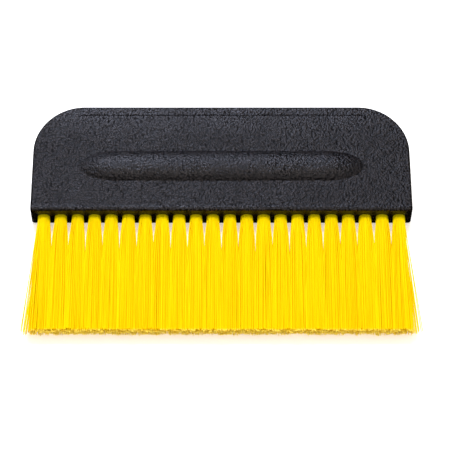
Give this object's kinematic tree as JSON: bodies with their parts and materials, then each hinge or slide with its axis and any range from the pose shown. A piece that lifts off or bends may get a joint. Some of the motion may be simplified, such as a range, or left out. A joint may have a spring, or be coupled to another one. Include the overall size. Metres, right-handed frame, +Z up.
{
  "type": "hand brush",
  "caption": "Short flat hand brush: black pebble-grained plastic handle with a raised grip rib and one straight row of yellow synthetic bristle tufts.",
  "frame": {"origin": "on the resting surface, under the middle of the brush's bounding box, with the brush lying on its flat back", "axes": "+X along the row of tufts, +Y towards the top of the handle (the bristles point to -Y), +Z up, out of the ribbed front face"},
  "size_m": [0.1432, 0.092, 0.013],
  "materials": {
    "handle": "black moulded plastic with a fine pebble grain, satin",
    "bristle": "bright yellow extruded synthetic filament, slightly glossy",
    "anchor": "bright flat steel wire, cut square"
  },
  "bodies": {
    "root": {"handle": "handle", "tuft_01": "bristle", "tuft_02": "bristle", "tuft_03": "bristle", "tuft_04": "bristle", "tuft_05": "bristle", "tuft_06": "bristle", "tuft_07": "bristle", "tuft_08": "bristle", "tuft_09": "bristle", "tuft_10": "bristle", "tuft_11": "bristle", "tuft_12": "bristle", "tuft_13": "bristle", "tuft_14": "bristle", "tuft_15": "bristle", "tuft_16": "bristle", "tuft_17": "bristle", "tuft_18": "bristle", "tuft_19": "bristle", "tuft_20": "bristle", "tuft_21": "bristle", "tuft_22": "bristle", "anchor_01": "anchor", "anchor_02": "anchor", "anchor_03": "anchor", "anchor_04": "anchor", "anchor_05": "anchor", "anchor_06": "anchor", "anchor_07": "anchor", "anchor_08": "anchor", "anchor_09": "anchor", "anchor_10": "anchor", "anchor_11": "anchor", "anchor_12": "anchor", "anchor_13": "anchor", "anchor_14": "anchor", "anchor_15": "anchor", "anchor_16": "anchor", "anchor_17": "anchor", "anchor_18": "anchor", "anchor_19": "anchor", "anchor_20": "anchor", "anchor_21": "anchor", "anchor_22": "anchor"}
  },
  "joints": []
}
